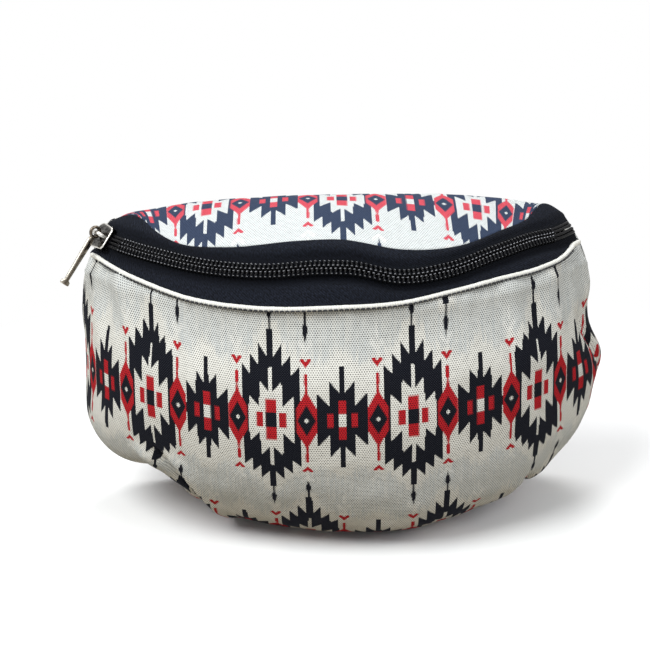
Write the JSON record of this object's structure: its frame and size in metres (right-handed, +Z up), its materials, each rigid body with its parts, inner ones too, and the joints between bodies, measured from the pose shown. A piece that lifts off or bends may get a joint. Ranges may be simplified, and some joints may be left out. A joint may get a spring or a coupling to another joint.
{
  "type": "insulated saddle pouch",
  "caption": "Crescent-shaped insulated zipped pouch of patterned nylon, strapped on the front of a saddle and looped round its horn.",
  "frame": {"origin": "middle of the flat spot that the bag stands on", "axes": "+Z up, out of the resting spot; +Y out of the flat back panel; -Y towards the front; +X to the right seen from the front"},
  "size_m": [0.2473, 0.1456, 0.1478],
  "materials": {
    "print": "woven nylon with a printed serrated diamond pattern in navy, red and cream",
    "backing": "plain woven nylon",
    "foam": "closed-cell foam",
    "foil": "crinkled foil film",
    "piping": "woven nylon, folded edge",
    "thread": "twisted thread",
    "zip_tape": "knitted tape",
    "zip_coil": "satin nylon coil",
    "nickel": "bright nickel plate",
    "webbing": "ribbed webbing",
    "grip": "hook and loop tape"
  },
  "bodies": {
    "bag": {"front_panel": "print", "front_insulation": "foam", "front_lining": "foil", "top_panel": "print", "top_insulation": "foam", "top_lining": "foil", "back_panel": "backing", "back_insulation": "foam", "back_lining": "foil", "edge_piping": "piping", "edge_stitching": "thread", "zip_tape_lower": "zip_tape", "zip_tape_upper": "zip_tape", "zip_coil_lower": "zip_coil", "zip_coil_upper": "zip_coil", "horn_strap_inner": "webbing", "horn_strap_outer": "webbing", "horn_pile_patch": "grip", "horn_hook_patch": "grip", "saddle_strap_left": "webbing", "strap_pile_patch_left": "grip", "strap_hook_patch_left": "grip", "saddle_strap_right": "webbing", "strap_pile_patch_right": "grip", "strap_hook_patch_right": "grip"},
    "slider": {"slider_body": "nickel"},
    "pull": {"pull_tab": "nickel"}
  },
  "joints": [
    {"name": "slider_travel", "type": "hinge", "parent": "bag", "child": "slider", "pos_m": [0, 0.102, 0.12929], "axis": [0, 0, 1], "range_deg": [0, 107.8]},
    {"name": "pull_swing", "type": "hinge", "parent": "slider", "child": "pull", "pos_m": [-0.11041, 0.02158, 0.13446], "axis": [-0.5887, 0.8083, 0], "range_deg": [-10, 136]}
  ]
}
